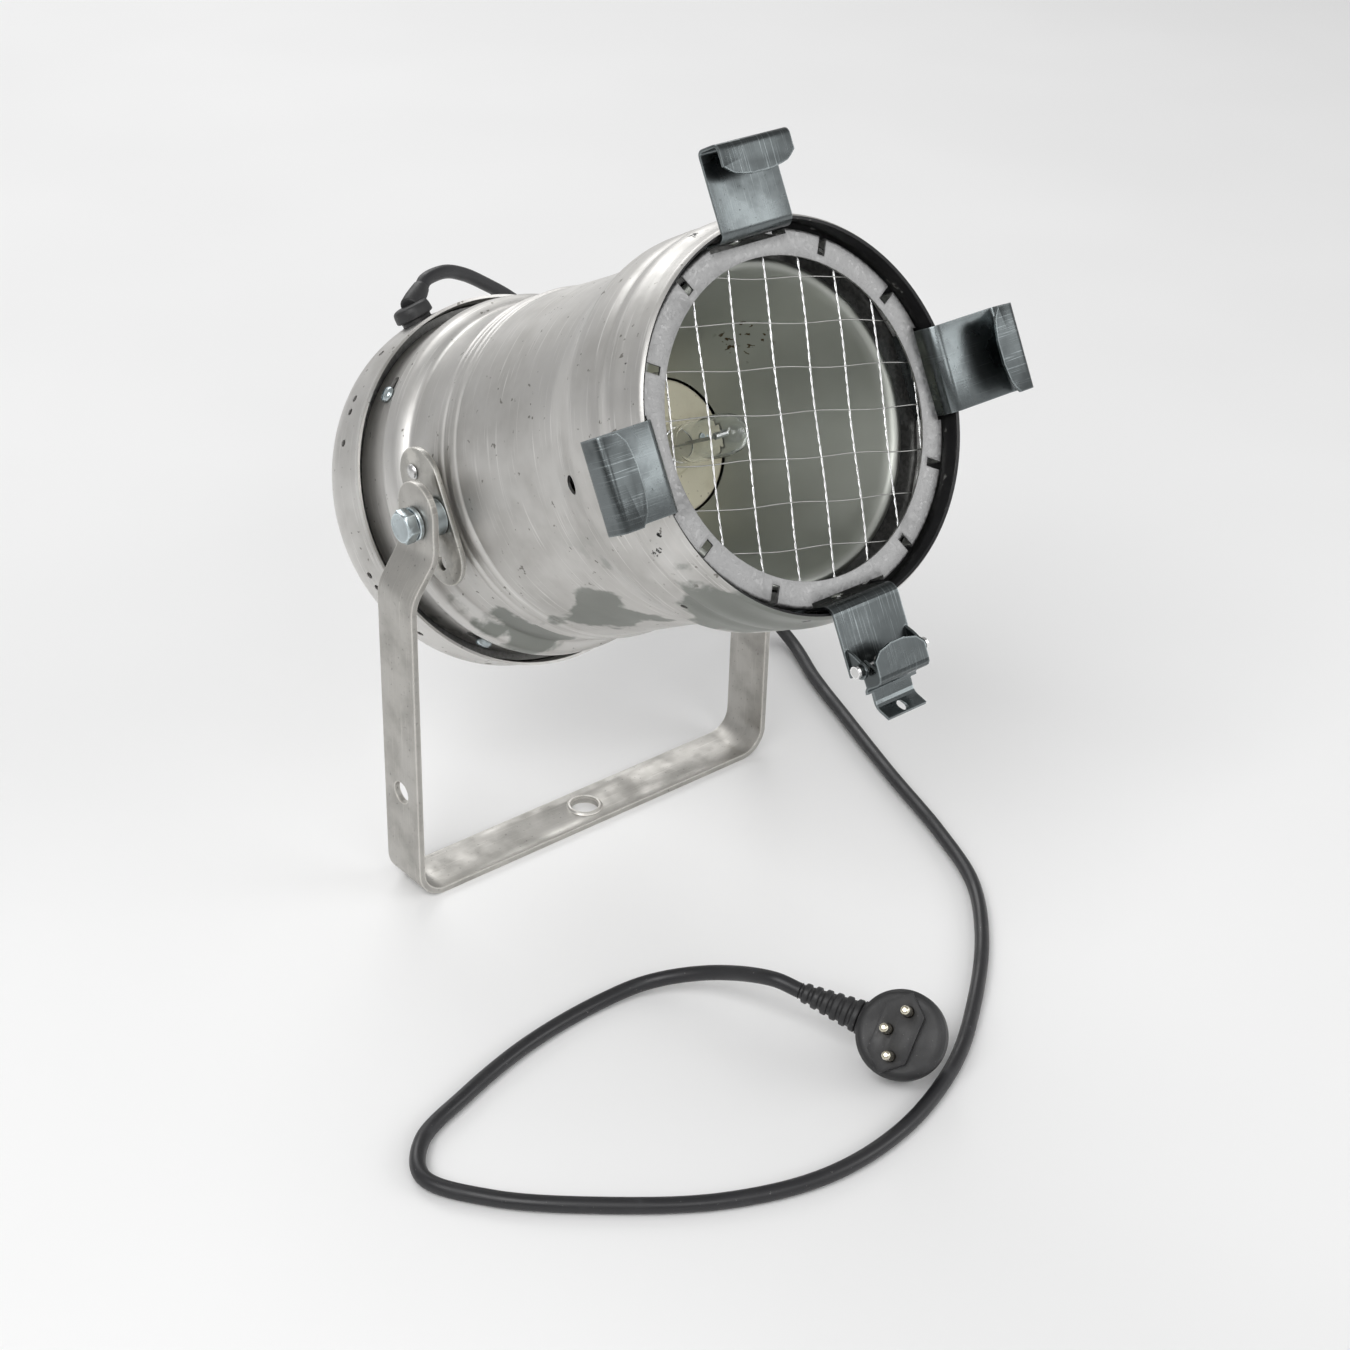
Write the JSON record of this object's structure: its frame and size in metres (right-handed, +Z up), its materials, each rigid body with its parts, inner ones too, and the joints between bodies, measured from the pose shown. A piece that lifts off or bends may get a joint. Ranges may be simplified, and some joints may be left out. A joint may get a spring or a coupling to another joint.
{
  "type": "stage lamp",
  "caption": "Short spun-aluminium stage lamp on a bent strap yoke, with a wire guard, gel-frame clips with a sprung latch, and a mains cord with a three-pin plug.",
  "frame": {"origin": "on the floor under the middle of the lamp's box, the free cord and its plug left out", "axes": "+Z up; -Y the way the lamp shines, 28.65 degrees above level at rest; +X to the lamp's right as seen from in front of it, along the tilt bolts"},
  "size_m": [0.3896, 0.3969, 0.3517],
  "materials": {
    "spun_aluminium": "spun, worn satin",
    "strap_steel": "dull grey, scratched",
    "zinc_steel": "zinc plated, semi-bright",
    "galvanised_steel": "speckled galvanised grey",
    "bright_steel": "bright",
    "satin_reflector": "dull satin",
    "cream_ceramic": "matt cream",
    "clear_glass": "clear",
    "black_rubber": "matt black",
    "brass": "dull",
    "white_sleeving": "woven sleeve",
    "dark_wire": "dark"
  },
  "bodies": {
    "stand": {"yoke": "strap_steel", "cord": "black_rubber", "plug_body": "black_rubber", "plug_face": "black_rubber", "plug_pin_live": "brass", "plug_pin_neutral": "brass", "plug_pin_earth": "brass", "plug_strain_relief": "black_rubber"},
    "head": {"left_arm_bolt": "zinc_steel", "left_spring_washer": "zinc_steel", "left_spacer": "zinc_steel", "left_inner_washer": "zinc_steel", "left_nut": "zinc_steel", "right_arm_bolt": "zinc_steel", "right_spring_washer": "zinc_steel", "right_spacer": "zinc_steel", "right_inner_washer": "zinc_steel", "right_nut": "zinc_steel", "left_side_plate": "strap_steel", "left_plate_rivet": "bright_steel", "right_side_plate": "strap_steel", "right_plate_rivet": "bright_steel", "front_housing": "spun_aluminium", "rear_cap": "spun_aluminium", "cap_collar": "galvanised_steel", "cap_screw_1": "zinc_steel", "cap_screw_2": "zinc_steel", "cap_screw_3": "zinc_steel", "cap_screw_4": "zinc_steel", "cable_boot": "black_rubber", "reflector": "satin_reflector", "lamp_ring": "galvanised_steel", "retaining_ring": "bright_steel", "ceramic_base": "cream_ceramic", "lamp_holder": "cream_ceramic", "holder_screw_1": "zinc_steel", "holder_screw_2": "zinc_steel", "bulb_base": "cream_ceramic", "bulb_glass": "clear_glass", "filament": "dark_wire", "guard_ring": "galvanised_steel", "wire_guard": "bright_steel", "top_clip": "zinc_steel", "left_clip": "zinc_steel", "right_clip": "zinc_steel", "top_clip_rivet": "bright_steel", "right_clip_rivet": "bright_steel", "bottom_clip_rivet": "bright_steel", "left_clip_rivet": "bright_steel", "latch_bracket": "zinc_steel", "latch_pin": "bright_steel", "latch_spring": "dark_wire", "terminal_block": "cream_ceramic", "earth_screw": "brass", "lead_live": "white_sleeving", "lead_neutral": "white_sleeving", "lead_earth": "brass", "inner_cable": "black_rubber"},
    "latch": {"latch_lever": "zinc_steel"}
  },
  "joints": [
    {"name": "head_tilt", "type": "hinge", "parent": "stand", "child": "head", "pos_m": [0, 0.04209, 0.18], "axis": [1, 0, 0], "range_deg": [-60, 52], "deforming": ["cord"]},
    {"name": "latch", "type": "hinge", "parent": "head", "child": "latch", "pos_m": [0, -0.14483, 0.17159], "axis": [1, 0, 0], "range_deg": [0, 26], "stiffness_Nm_per_rad": 0.05, "springref_deg": -20.05}
  ]
}
